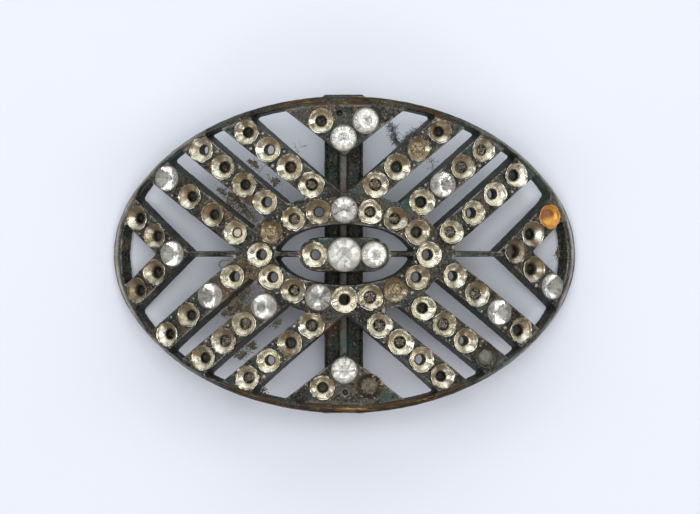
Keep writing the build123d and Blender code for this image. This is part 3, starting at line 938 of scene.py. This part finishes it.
# %% Finish of the dark metal
BLACKENED, OLIVE, TEAL = (0.005, 0.005, 0.004), (0.056, 0.052, 0.039), (0.022, 0.038, 0.034)
EARTH, SPECK, VERDIGRIS = (0.072, 0.046, 0.026), (0.26, 0.225, 0.165), (0.034, 0.074, 0.062)
RUBBED_AND_HIGHLIT, BRONZE, BRASS = (0.44, 0.41, 0.37), (0.055, 0.034, 0.018), (0.26, 0.165, 0.07)


def metal_colour(bench, rubbed_and_highlit, brass, dirt_and_shade, green):
    """The layers of colour that the casting and the small metal pieces share."""
    clouds_wide, clouds_fine = bench.grain(2.6, 5), bench.grain(0.36, 4, 0.72)
    tone = (clouds_wide * 0.4 + clouds_fine * 0.6).band(0.46, 0.56)
    colour = bench.glaze(tone, BLACKENED, OLIVE)
    colour = bench.glaze(bench.grain(1.7, 4).band(0.50, 0.62) * 0.75, colour, TEAL)
    earthy = (bench.grain(0.8, 4) * 0.9 + dirt_and_shade * 0.55 - 0.22).band(0.38, 0.62)
    colour = bench.glaze(earthy, colour, EARTH)
    speckle = (bench.grain(0.24, 2, 0.8) + dirt_and_shade * 0.07).band(0.61, 0.71)
    colour = bench.glaze(speckle, colour, SPECK)
    colour = bench.glaze((green * (clouds_fine + 0.45)).clamp(), colour, VERDIGRIS)
    # the pale grey of worn metal, which also paints the highlights that the rubbed amount carries
    worn_and_highlit = (rubbed_and_highlit * (clouds_fine * 0.8 + 0.55)).clamp()
    colour = bench.glaze(worn_and_highlit, colour, RUBBED_AND_HIGHLIT)
    colour = bench.glaze((brass * 2.6).clamp(), colour, BRONZE)
    return bench.glaze(brass.band(0.45, 0.95), colour, BRASS), worn_and_highlit, clouds_fine


dark = Bench("blackened_alloy", **{"Specular IOR Level": 0.22})
rubbed_and_highlit, brass, dirt_and_shade, green = dark.amounts()
colour, worn_and_highlit, fine = metal_colour(dark, rubbed_and_highlit, brass, dirt_and_shade, green)
matt = (dirt_and_shade * 0.7 + green).clamp()
pits = dark.cells(0.42).band(0.05, 0.35)
dark.on(
    metal, Base_Color=colour,
    Metallic=(0.25 - matt * 0.22 + worn_and_highlit * 0.60 + brass * 1.3).clamp(),
    Roughness=(0.36 + fine * 0.25 + matt * 0.25 - worn_and_highlit * 0.08).clamp(),
    Normal=dark.bump(fine * 0.8 + pits * 0.5 + dark.grain(0.12, 2) * 0.4, 0.06),
)

# %% Finish of collars, grains and the prong
small_metal = Bench("rubbed_alloy")
rubbed_and_highlit, brass, dirt_and_shade, green = small_metal.amounts()
colour, _, fine = metal_colour(small_metal, rubbed_and_highlit, brass, dirt_and_shade, green * 0)
small_metal.on(
    bar_grains, foil_crumbs, stone_collars, bent_prong, Base_Color=colour,
    Metallic=(0.9 - dirt_and_shade * 0.4).clamp(), Roughness=(0.32 + fine * 0.3).clamp(),
    Normal=small_metal.bump(fine, 0.02),
)

# %% [markdown]
# The foil is silvered and has yellowed. It is browner at the lip and speckled where the silver
# has gone. The upper half of a cup is painted browner as painted shade, and its side towards the
# middle of the buckle lighter as painted light. Deep down and under the lip it is darker, soot
# and painted shade together. One cup is orange with rust. The foil under the stones is duller
# and greyer, with painted shade in its middle.

# %% Finish of the foil
SILVER, STRAW, DULL_SILVER, DULL_STRAW = (
    (0.85, 0.825, 0.71), (0.58, 0.535, 0.40), (0.50, 0.50, 0.47), (0.25, 0.245, 0.22))
UMBER_STAIN_AND_SHADE, RUST, SOOT_AND_SHADE, ROSE = (
    (0.19, 0.14, 0.08), (0.52, 0.22, 0.025), (0.03, 0.025, 0.016), (0.62, 0.47, 0.42))


def foil_finish(name, roughness, silver, straw, *pieces):
    """Yellowed silver, with the stains and the painted shade and light that the mesh carries."""
    foil = Bench(name)
    brown_and_shade, rust, dirt_and_shade, lip = foil.amounts()
    wide, fine = foil.grain(0.9, 3), foil.grain(0.16, 4, 0.7)
    colour = foil.glaze((wide + brown_and_shade * 0.3 - 0.1).band(0.30, 0.65), silver, straw)
    # brown stains and the painted shade of each cup's upper half
    stain_and_shade = (brown_and_shade * 0.9 + fine * 0.9 + wide * 0.4 - 1.05 - lip * 0.15).band(-0.15, 0.45)
    colour = foil.glaze(stain_and_shade, colour, UMBER_STAIN_AND_SHADE)
    rosy = (foil.grain(0.7, 2).band(0.56, 0.70) * (0.2 + lip * 0.5) * (1 - rust)).clamp()
    colour = foil.glaze(rosy, colour, ROSE)
    colour = foil.glaze((rust * (wide + 0.45)).clamp(), colour, RUST)
    # soot, and the painted shade deep in the cups and in the middle under the stones
    soot_and_shade = (dirt_and_shade * 0.75 + fine * 0.8 - 0.82).band(-0.12, 0.22)
    colour = foil.glaze(soot_and_shade, colour, SOOT_AND_SHADE)
    foil.on(
        *pieces, Base_Color=colour, Metallic=(0.95 - stain_and_shade * 0.3 - rust * 0.5 - soot_and_shade * 0.3).clamp(),
        Roughness=(roughness + fine * 0.18 + stain_and_shade * 0.15 + soot_and_shade * 0.2).clamp(),
        Normal=foil.bump(fine + wide * 0.5, 0.018),
    )


foil_finish("yellowed_foil", 0.13, SILVER, STRAW, cup_linings)
foil_finish("foil_under_stones", 0.42, DULL_SILVER, DULL_STRAW, stone_foil)

# %% Finish of residue, drops, crusts, dirt and lint
GLUE, GLUE_GOLD, DROP, CRUST, CRUST_PALE = (
    (0.024, 0.016, 0.008), (0.36, 0.28, 0.14), (0.56, 0.52, 0.40), (0.09, 0.060, 0.028), (0.46, 0.37, 0.21))
RUST_IN_SHADE, RUST_IN_LIGHT, BLACK_DIRT, GREY_PLUG = (
    (0.20, 0.060, 0.008), (0.74, 0.38, 0.06), (0.032, 0.030, 0.022), (0.12, 0.125, 0.10))
WET_EARTH, DRY_EARTH, DUST = (0.026, 0.023, 0.013), (0.10, 0.080, 0.045), (0.21, 0.175, 0.11)
DARK_LINT, PALE_LINT = (0.022, 0.026, 0.027), (0.085, 0.085, 0.080)
scab = Bench("dried_cement")
browned, flecks = scab.amounts()[0], scab.grain(0.19, 3, 0.7)
golden = (flecks - browned * 0.05).band(0.49, 0.62)
scab.on(
    residue_scabs, dried_drops,
    Base_Color=scab.glaze(golden, scab.glaze(browned, DROP, GLUE), GLUE_GOLD),
    Metallic=(golden * browned * 0.7).clamp(),
    Roughness=(0.10 + flecks * 0.25).clamp(), Coat_Weight=(0.2 + flecks * 0.5).clamp(),
    Normal=scab.bump(flecks, 0.05),
)
crust = Bench("cup_crust")
lit, rust, dirt_and_shade, grey = crust.amounts()
flecks = crust.grain(0.26, 4, 0.7)
colour = crust.glaze(flecks.band(0.42, 0.62), CRUST, CRUST_PALE)
colour = crust.glaze((dirt_and_shade * dirt_and_shade * 0.95).clamp(), colour, BLACK_DIRT)
colour = crust.glaze((grey * (flecks + 0.4)).clamp(), colour, GREY_PLUG)
# lit and shaded copies of the rust: painted light on the lower side, painted shade above
rust_light_and_shade = crust.glaze((lit + flecks * 0.3 - 0.15).clamp(), RUST_IN_SHADE, RUST_IN_LIGHT)
colour = crust.glaze(rust, colour, rust_light_and_shade)
crust.on(cup_crusts, Base_Color=colour, Roughness=(0.25 + flecks * 0.4 + rust * 0.2).clamp(),
         Metallic=(flecks.band(0.52, 0.60) * 0.6 * (1 - rust) * (1 - grey)).clamp(),
         Coat_Weight=(rust * 0.12).clamp(), Normal=crust.bump(flecks, 0.06))

grime = Bench("slot_grime")
pale, flecks = grime.amounts()[0], grime.grain(0.25, 5, 0.7)
colour = grime.glaze(flecks.band(0.38, 0.62), WET_EARTH, DRY_EARTH)
colour = grime.glaze((pale * (flecks + 0.3)).clamp(), colour, DUST)
grime.on(slot_dirt, Base_Color=colour, Roughness=(0.6 + flecks * 0.3).clamp(),
         Normal=grime.bump(flecks, 0.08))

fluff = Bench("grey_lint")
shade = fluff.grain(0.8, 2)
colour = fluff.glaze(shade.band(0.35, 0.65), DARK_LINT, PALE_LINT)
fluff.on(lint_tufts, Base_Color=colour, Roughness=(0.7 + shade * 0.2).clamp())

# %% [markdown]
# The stones are glass, slightly warm and a little milky with age, with fine scratches on the
# table. Glass that touches its foil has no total reflection at the back: what is seen there is
# the foil. The air gap that the meshes need would bring it back, so the index is set low.

# %% Finish of the stones
stones = [node for name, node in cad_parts.items() if name.startswith("stone_")]
glass = Bench("paste_glass", **{
    "Base Color": (0.88, 0.875, 0.83), "IOR": 1.37, "Transmission Weight": 0.92, "Metallic": 0.0})
scratches = glass.grain(0.25, 4, 0.7)
glass.on(*stones, Roughness=(scratches.band(0.40, 0.70) * 0.07 + 0.02).clamp(),
         Normal=glass.bump(scratches, 0.004))
print(len(stones), "stones")

# %% [markdown]
# The buckle lies on a pale, slightly blue table under wide soft lights: a low and a higher one
# beyond its upper edge, one at each side, one near, and three almost overhead. Those beyond are a
# little blue and those near a little rosy. The camera looks straight down from half a metre, so
# its lens is long.

# %% Table
TABLE_HALF, TABLE_CELLS, MOTTLE_SIZE = 0.9, 24, 60
TABLE_BLUE, TABLE_PALE = (0.70, 0.725, 0.785), (0.72, 0.745, 0.81)
table_mesh = bpy.data.meshes.new("table")
work = bmesh.new()
bmesh.ops.create_grid(work, x_segments=TABLE_CELLS, y_segments=TABLE_CELLS, size=TABLE_HALF)
work.to_mesh(table_mesh)
work.free()
table = bpy.data.objects.new("table", table_mesh)
bpy.context.collection.objects.link(table)
paper = Bench("pale_table")
mottle = paper.grain(MOTTLE_SIZE, 2)
paper.on(table, Base_Color=paper.glaze(mottle, TABLE_BLUE, TABLE_PALE),
         Roughness=(0.7 + mottle * 0.1).clamp())

# %% Lights
BLUISH, WHITE, ROSY = (0.93, 0.98, 1.0), (1.0, 1.0, 1.0), (1.0, 0.955, 0.97)
ROOM_COLOUR, ROOM_STRENGTH = (0.86, 0.92, 1.0, 1), 0.19
# name, place, width and height in metres, watts, colour
LIGHTS = [
    ("beyond", (0.0, 0.60, 0.25), 0.80, 0.40, 1.0, BLUISH),
    ("high_beyond", (0.0, 0.48, 0.52), 0.80, 0.30, 1.0, BLUISH),
    ("left", (-0.48, 0.06, 0.28), 0.18, 0.24, 0.60, WHITE),
    ("right", (0.48, 0.06, 0.28), 0.18, 0.24, 0.68, WHITE),
    ("near", (0.0, -0.46, 0.52), 0.60, 0.30, 0.8, ROSY),
    ("high_left", (-0.17, 0.12, 0.82), 0.40, 0.40, 1.5, BLUISH),
    ("high_right", (0.17, 0.12, 0.82), 0.40, 0.40, 1.7, WHITE),
    ("high_near", (0.0, -0.17, 0.84), 0.60, 0.30, 1.3, ROSY),
]
for name, place, width, height, watts, tint in LIGHTS:
    lamp = bpy.data.lights.new(name, "AREA")
    lamp.color = tint
    lamp.shape, lamp.size, lamp.size_y, lamp.energy = "RECTANGLE", width, height, watts
    light = bpy.data.objects.new(name, lamp)
    light.location = place
    light.rotation_euler = (-Vector(place)).to_track_quat("-Z", "Y").to_euler()
    light.visible_camera = False
    bpy.context.collection.objects.link(light)
world = bpy.data.worlds.new("room")
world.use_nodes = True
backdrop = world.node_tree.nodes["Background"]
backdrop.inputs["Color"].default_value = ROOM_COLOUR
backdrop.inputs["Strength"].default_value = ROOM_STRENGTH
bpy.context.scene.world = world
bpy.context.scene.view_settings.view_transform = "Standard"

# %% Camera
# pixels of the picture: its own middle and the middle of the buckle, and the size of one of them
PICTURE_X, PICTURE_Y, BUCKLE_X, BUCKLE_Y = 350, 257, 344.5, 254.7
PIXEL, CAMERA_HEIGHT, SENSOR_WIDTH, LENS = 0.1297 * MM, 0.4944, 36, 195.5
camera_data = bpy.data.cameras.new("camera")
camera_data.sensor_width, camera_data.lens = SENSOR_WIDTH, LENS
camera_data.clip_start = 0.01
camera = bpy.data.objects.new("camera", camera_data)
camera.location = ((PICTURE_X - BUCKLE_X) * PIXEL, (BUCKLE_Y - PICTURE_Y) * PIXEL, CAMERA_HEIGHT)
bpy.context.collection.objects.link(camera)
bpy.context.scene.camera = camera
